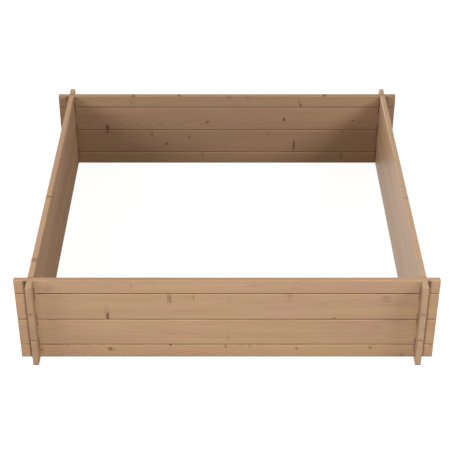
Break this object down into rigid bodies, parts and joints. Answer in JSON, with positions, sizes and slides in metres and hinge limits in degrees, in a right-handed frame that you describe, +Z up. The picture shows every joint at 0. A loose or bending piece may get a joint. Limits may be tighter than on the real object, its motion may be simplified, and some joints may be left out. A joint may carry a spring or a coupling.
{
  "type": "raised garden bed",
  "caption": "Square raised garden bed of notched tongue-and-groove boards, open at top and bottom, locked at crossed corners whose ends stand out past the walls.",
  "frame": {"origin": "centre of the square footprint, on the ground", "axes": "+Z up, +X along the front and back walls, +Y from the front wall to the back wall"},
  "size_m": [1.5, 1.5, 0.345],
  "materials": {
    "planed_spruce": "planed, impregnated light brown, matt"
  },
  "bodies": {
    "root": {"front_bottom_half_board": "planed_spruce", "front_lower_board": "planed_spruce", "front_upper_board": "planed_spruce", "front_top_half_board": "planed_spruce", "back_bottom_half_board": "planed_spruce", "back_lower_board": "planed_spruce", "back_upper_board": "planed_spruce", "back_top_half_board": "planed_spruce", "left_bottom_board": "planed_spruce", "left_middle_board": "planed_spruce", "left_top_board": "planed_spruce", "right_bottom_board": "planed_spruce", "right_middle_board": "planed_spruce", "right_top_board": "planed_spruce"}
  },
  "joints": []
}
